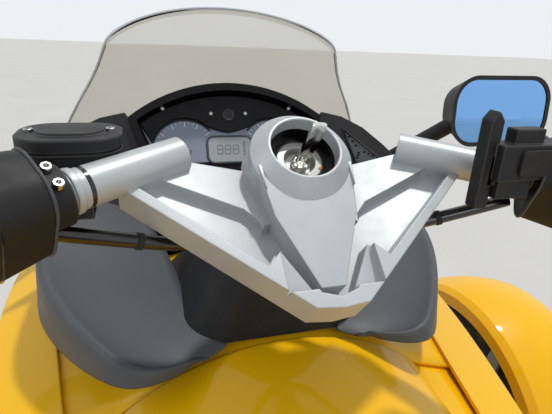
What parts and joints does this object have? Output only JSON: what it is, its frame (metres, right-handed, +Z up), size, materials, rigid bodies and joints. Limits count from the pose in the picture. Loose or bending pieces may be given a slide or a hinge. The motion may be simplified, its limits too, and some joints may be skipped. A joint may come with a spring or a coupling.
{
  "type": "reverse trike",
  "caption": "Open three-wheeler with two steered wheels in front and one driven wheel behind, straddle seat and handlebars.",
  "frame": {"origin": "on the ground under the middle of the overall box", "axes": "+X to the vehicle's right, +Y forward, +Z up"},
  "size_m": [1.506, 2.667, 1.1429],
  "materials": {
    "frame_black": "satin",
    "body_yellow": "gloss",
    "dark_plastic": "textured",
    "gloss_black": "gloss",
    "silver_paint": "satin",
    "cast_alloy": "satin",
    "dark_alloy": "satin",
    "steel": "brushed",
    "rubber": "matte",
    "tyre": "matte",
    "seat_cover": "grained",
    "smoked_clear": "clear",
    "mirror": "mirror",
    "lamp_clear": "clear",
    "lamp_red": "gloss",
    "dial": "clear"
  },
  "bodies": {
    "chassis": {"anti_roll_bar": "frame_black", "brake_pedal": "cast_alloy", "cockpit_panels": "dark_plastic", "column_cover": "gloss_black", "console": "body_yellow", "dash_pod": "gloss_black", "drive_belt": "rubber", "engine": "dark_alloy", "exhaust_pipe": "steel", "footrests": "cast_alloy", "frame": "frame_black", "front_fascia": "gloss_black", "front_shocks": "steel", "front_trunk_tub": "dark_plastic", "gauge_cluster": "dial", "grab_rails": "dark_alloy", "headlamps": "lamp_clear", "mirror_glasses": "mirror", "mirror_housings": "gloss_black", "plate_carrier": "dark_plastic", "radiator": "dark_alloy", "rear_fender": "dark_plastic", "rear_shock": "steel", "side_fairings": "body_yellow", "silencer": "steel", "swing_arm": "dark_alloy", "tail_cowl": "body_yellow", "tail_lamps": "lamp_red", "upper_cowl": "dark_plastic", "windshield": "smoked_clear", "wishbones": "frame_black"},
    "lid": {"front_lid": "body_yellow"},
    "seat": {"seat": "seat_cover"},
    "bars": {"yoke": "silver_paint", "grips": "rubber", "switch_housings": "dark_plastic", "clutch_master": "gloss_black", "ignition_lock": "steel", "phone_holder": "dark_plastic", "bar_cables": "rubber"},
    "pitman": {"pitman_arm": "steel"},
    "tie_left": {"tie_rod_left": "steel"},
    "tie_right": {"tie_rod_right": "steel"},
    "knuckle_left": {"knuckle_left": "cast_alloy", "front_fender_left": "body_yellow"},
    "knuckle_right": {"knuckle_right": "cast_alloy", "front_fender_right": "body_yellow"},
    "wheel_front_left": {"front_tyre_left": "tyre", "front_rim_left": "dark_alloy", "front_disc_left": "steel"},
    "wheel_front_right": {"front_tyre_right": "tyre", "front_rim_right": "dark_alloy", "front_disc_right": "steel"},
    "wheel_rear": {"rear_tyre": "tyre", "rear_rim": "dark_alloy", "rear_disc": "steel", "rear_belt_wheel": "cast_alloy"}
  },
  "joints": [
    {"name": "steering", "type": "hinge", "parent": "chassis", "child": "bars", "pos_m": [0, 0.4116, 1.0306], "axis": [0, -0.6115, 0.7912], "range_deg": [-30, 30]},
    {"name": "pitman_turn", "type": "hinge", "parent": "chassis", "child": "pitman", "pos_m": [0, 0.7935, 0.3], "axis": [0, 0, 1], "range_deg": [-24, 24]},
    {"name": "front_lid_hinge", "type": "hinge", "parent": "chassis", "child": "lid", "pos_m": [0, 1.262, 0.69], "axis": [-1, 0, 0], "range_deg": [0, 60]},
    {"name": "seat_hinge", "type": "hinge", "parent": "chassis", "child": "seat", "pos_m": [0, 0.066, 0.766], "axis": [-1, 0, 0], "range_deg": [0, 60]},
    {"name": "knuckle_left_turn", "type": "hinge", "parent": "chassis", "child": "knuckle_left", "pos_m": [-0.575, 0.7935, 0.285], "axis": [0, 0, 1], "range_deg": [-24, 24]},
    {"name": "tie_rod_left_ball", "type": "hinge", "parent": "pitman", "child": "tie_left", "pos_m": [-0.028, 0.6835, 0.255], "axis": [0, 0, 1], "range_deg": [-24, 24]},
    {"name": "wheel_front_left_spin", "type": "hinge", "parent": "knuckle_left", "child": "wheel_front_left", "pos_m": [-0.654, 0.7935, 0.285], "axis": [1, 0, 0], "continuous": true},
    {"name": "knuckle_right_turn", "type": "hinge", "parent": "chassis", "child": "knuckle_right", "pos_m": [0.575, 0.7935, 0.285], "axis": [0, 0, 1], "range_deg": [-24, 24]},
    {"name": "tie_rod_right_ball", "type": "hinge", "parent": "pitman", "child": "tie_right", "pos_m": [0.028, 0.6835, 0.255], "axis": [0, 0, 1], "range_deg": [-24, 24]},
    {"name": "wheel_front_right_spin", "type": "hinge", "parent": "knuckle_right", "child": "wheel_front_right", "pos_m": [0.654, 0.7935, 0.285], "axis": [1, 0, 0], "continuous": true},
    {"name": "wheel_rear_spin", "type": "hinge", "parent": "chassis", "child": "wheel_rear", "pos_m": [0, -0.9335, 0.303], "axis": [1, 0, 0], "continuous": true}
  ],
  "couplings": [
    {"joint": "pitman_turn", "follows": "steering", "ratio": 0.8},
    {"joint": "knuckle_left_turn", "follows": "steering", "ratio": 0.8},
    {"joint": "tie_rod_left_ball", "follows": "steering", "ratio": -0.8},
    {"joint": "knuckle_right_turn", "follows": "steering", "ratio": 0.8},
    {"joint": "tie_rod_right_ball", "follows": "steering", "ratio": -0.8}
  ]
}
